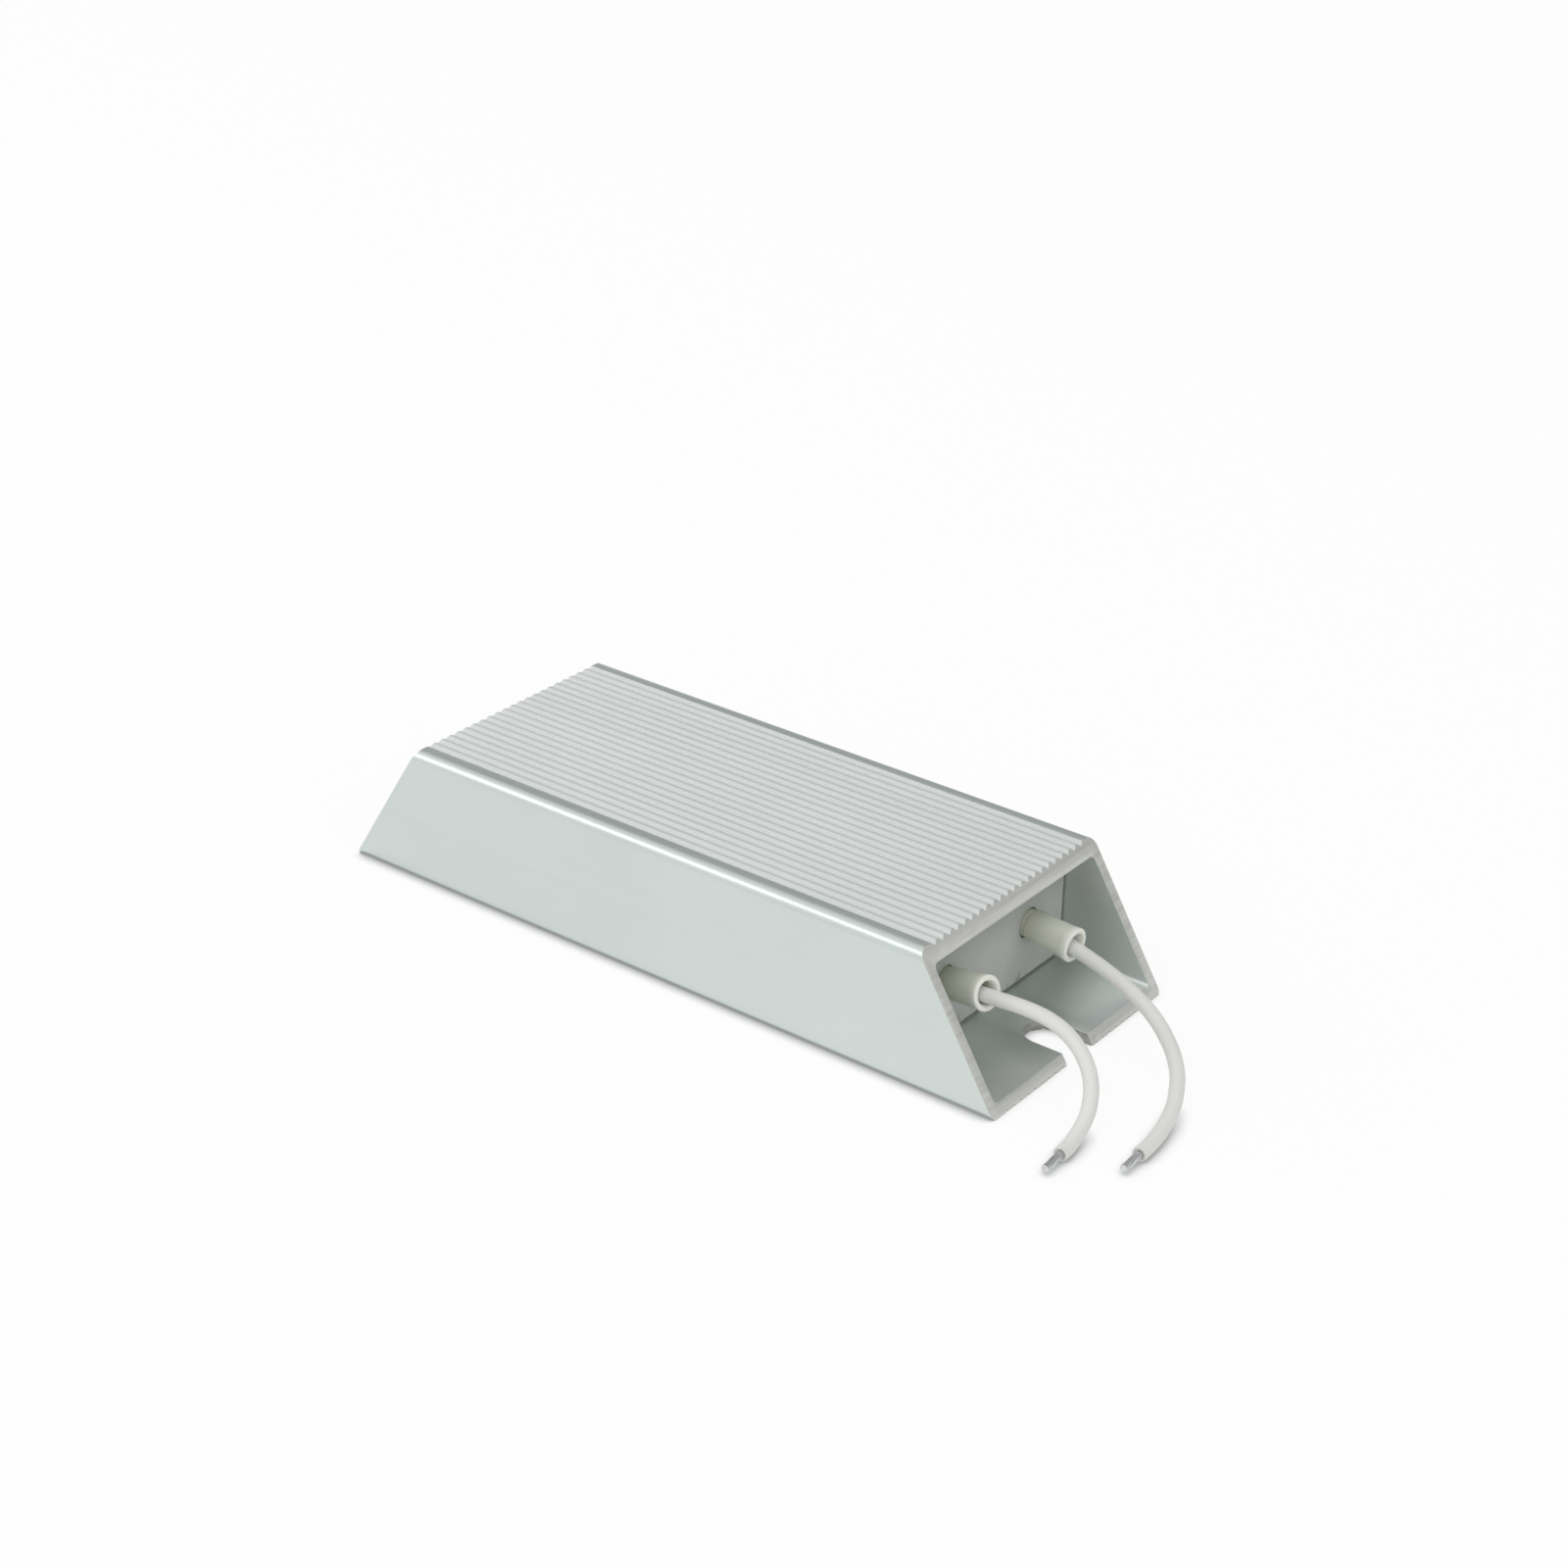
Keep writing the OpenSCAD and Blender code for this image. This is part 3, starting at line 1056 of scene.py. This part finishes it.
@dataclass
class Lead:
    """A braided lead on its route, with a stripped and tinned end."""

    outlet: Outlet
    route: Sequence[Point3]
    diameter: float = 3.0 * MM
    yarns: int = 16
    yarn_relief: float = 0.06 * MM
    cell_steps: int = 5
    cut_height: float = 0.35
    core_radius: float = 0.8 * MM
    wall_radius: float = 1.12 * MM
    hollow_depth: float = 0.3 * MM
    tip_length: float = 6 * MM
    tip_steps: int = 60
    tip_rounding: float = 0.35 * MM
    tip_end: float = 0.25
    strand_lobes: int = 7
    lobe_steps: int = 10
    lobe_depth: float = 0.14
    lobe_power: float = 0.6
    strand_twist: float = 0.9
    knot_steps: int = 24
    cord_spacing: float = 0.5 * MM

    def path(self, spacing: float) -> list[Vector]:
        """The smooth middle line through the route's points.

        Args:
            spacing: Distance between the line's points, about.

        Returns:
            The line's points, in metres.
        """
        knots = [Vector(p) * MM for p in self.route]
        padded = [2 * knots[0] - knots[1], *knots, 2 * knots[-1] - knots[-2]]
        fine: list[Vector] = []
        for p0, p1, p2, p3 in zip(padded, padded[1:], padded[2:], padded[3:]):
            for k in range(self.knot_steps):
                t = k / self.knot_steps
                fine.append(0.5 * (2 * p1 + (p2 - p0) * t + (2 * p0 - 5 * p1 + 4 * p2 - p3) * t**2
                                   + (3 * p1 - p0 - 3 * p2 + p3) * t**3))
        fine.append(knots[-1])
        lowest = self.diameter / 2
        return self._evened([Vector((p.x, p.y, max(p.z, lowest))) for p in fine], spacing)

    @staticmethod
    def _evened(line: Sequence[Vector], spacing: float) -> list[Vector]:
        """The line again, with its points the same distance apart.

        Args:
            line: The line's points.
            spacing: The distance wanted, about.

        Returns:
            The evened points, with the same ends.
        """
        along = [0.0]
        for a, b in zip(line, line[1:]):
            along.append(along[-1] + (b - a).length)
        count = max(2, round(along[-1] / spacing))
        evened, at = [], 0
        for k in range(count + 1):
            wanted = along[-1] * k / count
            while at < len(line) - 2 and along[at + 1] < wanted:
                at += 1
            share = (wanted - along[at]) / (along[at + 1] - along[at])
            evened.append(line[at].lerp(line[at + 1], min(1.0, share)))
        return evened

    @staticmethod
    def _carried(line: Sequence[Vector]) -> list[tuple[Vector, Vector]]:
        """Two directions square to the line at each point, carried along it without twist.

        Args:
            line: The line's points.

        Returns:
            A pair of directions for each point.
        """
        ahead = (line[1] - line[0]).normalized()
        left, _ = across(ahead)
        pairs = []
        for i, _ in enumerate(line):
            new = (line[min(i + 1, len(line) - 1)] - line[max(i - 1, 0)]).normalized()
            left.rotate(ahead.rotation_difference(new))
            left = (left - new * left.dot(new)).normalized()
            ahead = new
            pairs.append((left.copy(), ahead.cross(left)))
        return pairs

    def _yarn_height(self, turn: float, along: float) -> float:
        """Height of the braid's surface, from 0 between yarns to 1 on a crown.

        Args:
            turn: Angle round the lead, as a share of a turn.
            along: Distance along it, in yarn widths.

        Returns:
            The height.
        """
        one = cos(pi * ((self.yarns * turn + along) % 1.0 - 0.5))
        other = cos(pi * ((self.yarns * turn - along) % 1.0 - 0.5))
        return sqrt(max(0.0, one * other))

    def build(self) -> None:
        tip = self._tip()
        yarn = pi * self.diameter / self.yarns
        line = self.path(yarn / self.cell_steps)
        spacing = (line[1] - line[0]).length
        sides = self.yarns * self.cell_steps
        radius, heights, rings = self.diameter / 2, [], []
        for i, (middle, (left, up)) in enumerate(zip(line, self._carried(line))):
            ring = []
            for k in range(sides):
                height = self._yarn_height(k / sides, i * spacing / yarn)
                reach = radius - self.yarn_relief * (1 - height)
                ring.append(middle + reach * spoke(tau * k / sides, left, up))
                heights.append(height)
            rings.append(ring)
        end, last = line[-1], rings[-1]
        for inset, depth in ((self.wall_radius, 0.0), (self.core_radius, self.hollow_depth)):
            share = inset / radius
            inward = (line[-2] - line[-1]).normalized() * depth
            rings.append([end + (p - end) * share + inward for p in last])
            # the cut end gets a middling height, which colours it partway into the braid's painted shade
            heights += [self.cut_height] * sides
        lead = stack(f"braided_lead_{self.outlet.side.word}", rings)
        store(lead, "yarn_height", heights)
        smooth(lead, 60.0)
        dress(lead, BRAID, f"lead_{self.outlet.side.word}")
        path = self.path(self.cord_spacing)
        length = sum((b - a).length for a, b in zip(path, path[1:]))

    def _tip(self) -> Piece:
        """Makes the bare end: twisted strands under tin, rounded off where they were cut.

        Returns:
            The tip.
        """
        start, before = Vector(self.route[-1]) * MM, Vector(self.route[-2]) * MM
        ahead = (start - before).normalized()
        left, up = across(ahead)
        sides, steps = self.strand_lobes * self.lobe_steps, self.tip_steps
        rings = []
        for i in range(steps + 1):
            reach = self.tip_length * i / steps
            left_over = (self.tip_length - reach) / self.tip_rounding
            rounding = sqrt(max(0.0, 1 - (1 - min(1.0, left_over)) ** 2))
            close = rounding * (1 - self.tip_end) + self.tip_end
            ring = []
            for k in range(sides):
                turn = tau * k / sides
                twisted = self.strand_lobes * turn / 2 + self.strand_twist * tau * i / steps
                lobe = abs(sin(twisted)) ** self.lobe_power
                radius = self.core_radius * close * (1 - self.lobe_depth + self.lobe_depth * lobe)
                ring.append(start + ahead * reach + radius * spoke(turn, left, up))
            rings.append(ring)
        tip = stack(f"tinned_end_{self.outlet.side.word}", rings)
        smooth(tip, 50.0)
        dress(tip, TIN, f"lead_tip_{self.outlet.side.word}")
        return tip


class Inside:
    """What is bedded between the boards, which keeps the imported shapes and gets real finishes."""

    def dress(self) -> None:
        """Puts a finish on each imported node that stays."""
        paired = {
            "rod": ROD, "winding": WIRE, "front_cap": STEEL, "rear_cap": STEEL, "crimp": BRASS,
            "conductor": COPPER,
        }
        finishes = {f"{kind}_{side.word}": finish for kind, finish in paired.items() for side in Side}
        finishes |= {"cement_filling": CEMENT, "series_strap": STEEL}
        for node, finish in finishes.items():
            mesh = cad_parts[node].data
            mesh.materials.clear()
            mesh.materials.append(finish.material())
            LOG.info("%s: %s", node, finish.name)


@dataclass
class Studio:
    """Camera, lamps, floor and surroundings."""

    camera_place: Point3 = (0.32962, -0.42586, 0.30728)
    azimuth: float = 36.93
    elevation: float = 27.07
    roll: float = 1.33
    lens: float = 68.42
    sensor: float = 36.0
    floor_reach: float = 3.0
    pale: float = 0.88
    darkening: float = 0.46

    def set_camera(self) -> None:
        """Makes the camera and looks through it."""
        data = bpy.data.cameras.new("camera")
        data.lens = self.lens
        data.sensor_width = self.sensor
        data.clip_start = 10 * MM
        camera = placed("camera", data)
        place = Matrix.Translation(self.camera_place)
        for degrees, axis in ((self.azimuth, "Z"), (90 - self.elevation, "X"), (self.roll, "Z")):
            place = place @ Matrix.Rotation(radians(degrees), 4, axis)
        camera.matrix_world = place
        bpy.context.scene.camera = camera

    def _lamp(self, name: str, place: Point3, size: Point2, power: float) -> None:
        """Hangs a soft rectangular lamp that faces the part.

        Args:
            name: Its name.
            place: Where it hangs.
            size: Its length along X, about, and its width.
            power: Its power in watts.
        """
        data = bpy.data.lights.new(name, "AREA")
        data.shape = "RECTANGLE"
        data.size, data.size_y = size
        data.energy = power
        lamp = placed(name, data)
        facing = (-Vector(place)).normalized()
        along = (Vector((1.0, 0.0, 0.0)) - facing * facing.x).normalized()
        turn = Matrix((along, along.cross(facing), -facing)).transposed().to_4x4()
        lamp.matrix_world = Matrix.Translation(place) @ turn

    def light(self) -> None:
        """Hangs the lamps and sets the surroundings: pale, and darker low down behind the part."""
        self._lamp("key_lamp", (-0.70, -0.62, 1.0), (2.4, 0.2), 4.2)
        self._lamp("fill_lamp", (0.9, -0.5, 0.5), (0.8, 0.8), 0.6)
        world = bpy.data.worlds.new("studio")
        bpy.context.scene.world = world
        world.use_nodes = True
        graph = Graph(world.node_tree)
        _, back, height = graph.axes(graph.node("TexCoord").outputs["Generated"])
        dark = back.rise(0.20, 0.46) * height.rise(0.90, 0.72) * height.rise(0.02, 0.22)
        seen = Field(graph, graph.node("LightPath").outputs["Is Camera Ray"])
        strength = (self.pale - self.darkening * dark) * (1.0 - seen) + seen
        sky = graph.node("Background", inputs={"Color": (1.0, 1.0, 1.0, 1.0), "Strength": strength})
        graph.node("OutputWorld", inputs={"Surface": sky.outputs[0]})

    def lay_floor(self) -> None:
        """Lays the floor under the part."""
        square = ((-1, -1), (1, -1), (1, 1), (-1, 1))
        corners = [(x * self.floor_reach, y * self.floor_reach, 0.0) for x, y in square]
        floor = new_object("studio_floor", corners, [(0, 1, 2, 3)])
        floor.data.materials.append(FLOOR.material())


SKIN = AnodisedSkin("anodised_skin")
SAWN = SawnEnd("sawn_end")
EDGE = BrightEdge("bright_edge")
# painted light: the ribbed top is the same anodised skin, made lighter than on the sides as well as rougher
RIBBED = AnodisedSkin("ribbed_skin", tint=(0.73, 0.75, 0.745), roughness=0.75)
BORE = AnodisedSkin("bore_skin", tint=(0.655, 0.695, 0.675), roughness=0.42)
# painted shade: the slot walls get a sawn finish with a dark tint, about half the sawn end's, for the shade
# inside the slots
SLOT_PAINTED_SHADE = SawnEnd("slot_painted_shade", tint=(0.36, 0.36, 0.34))
BOARD = BoardFace("board_face")
CEMENT = QuartzCement("quartz_cement")
ROD = FiredCeramic("rod_ceramic")
WIRE = DrawnMetal("resistance_wire", tint=(0.30, 0.28, 0.26), tarnish=(0.16, 0.13, 0.11), roughness=0.45)
STEEL = DrawnMetal("cap_steel", tint=(0.55, 0.56, 0.57))
BRASS = DrawnMetal("crimp_brass", tint=(0.72, 0.55, 0.26), tarnish=(0.42, 0.29, 0.13))
COPPER = DrawnMetal("bare_copper", tint=(0.78, 0.42, 0.27), tarnish=(0.40, 0.20, 0.13))
TIN = DrawnMetal("tinned_copper", tint=(0.66, 0.67, 0.68), tarnish=(0.46, 0.42, 0.36), roughness=0.28)
SLEEVE = SleeveStock("sleeve_stock")
BRAID = GlassBraid("glass_braid")
FLOOR = StudioFloor("studio_floor")

NEAR_ROUTE: Sequence[Point3] = (
    (56, -14.5, 15), (58.9, -14.5, 15), (61.8, -14.8, 15.24), (64.6, -15.35, 15.68),
    (67.4, -15.85, 16.15), (70.2, -16.2, 16.6), (73.1, -16.3, 16.85), (76, -16.1, 16.93),
    (78.9, -15.7, 16.8), (81.7, -15.25, 16.41), (84.5, -14.87, 15.69), (87.2, -14.71, 14.61),
    (89.7, -14.86, 13.16), (92, -15.38, 11.44), (94, -16.32, 9.55), (95.6, -17.72, 7.65),
    (96.8, -19.58, 5.85), (97.7, -21.82, 4.25), (98.2, -24.34, 2.98), (98.5, -27.05, 2.08),
    (98.8, -29.9, 1.5), (99, -32.8, 1.5),
)
FAR_ROUTE: Sequence[Point3] = (
    (56, 14.5, 15), (59.4, 14.5, 15), (62.8, 14.38, 14.85), (66.1, 14.16, 14.5), (69.5, 13.88, 14.05),
    (72.8, 13.54, 13.5), (76.1, 13.14, 12.89), (79.4, 12.66, 12.24), (82.7, 12.06, 11.53),
    (85.9, 11.27, 10.78), (89, 10.28, 9.99), (92.1, 9.03, 9.17), (95, 7.51, 8.32), (97.7, 5.71, 7.46),
    (100.3, 3.64, 6.59), (102.6, 1.29, 5.72), (104.6, -1.3, 4.87), (106.2, -4.14, 4.05),
    (107.6, -7.16, 3.27), (108.6, -10.32, 2.59), (109.3, -13.58, 2.05), (109.8, -16.91, 1.67),
    (110.1, -20.3, 1.5), (110.2, -23.7, 1.5),
)


def main() -> None:
    """Builds and dresses every piece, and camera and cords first."""
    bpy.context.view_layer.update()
    studio = Studio()
    studio.set_camera()
    outlets = [
        Outlet(Side.NEAR, lean=(-10.0, 12.0), bead_length=10.4 * MM),
        Outlet(Side.FAR, lean=(-3.5, -4.0), bead_length=10.6 * MM),
    ]
    for outlet, route in zip(outlets, (NEAR_ROUTE, FAR_ROUTE)):
        Lead(outlet, route).build()
    housing = Housing()
    housing.build()
    EndBoard(housing, End.LEAD, "lead_end_board").build(outlets)
    EndBoard(housing, End.REAR, "rear_end_board").build([])
    for outlet in outlets:
        outlet.build()
    Inside().dress()
    studio.lay_floor()
    studio.light()
    bpy.context.scene.view_settings.view_transform = "Standard"


if __name__ == "__main__":
    logging.basicConfig(level=logging.INFO, format="%(name)s %(message)s")
    main()
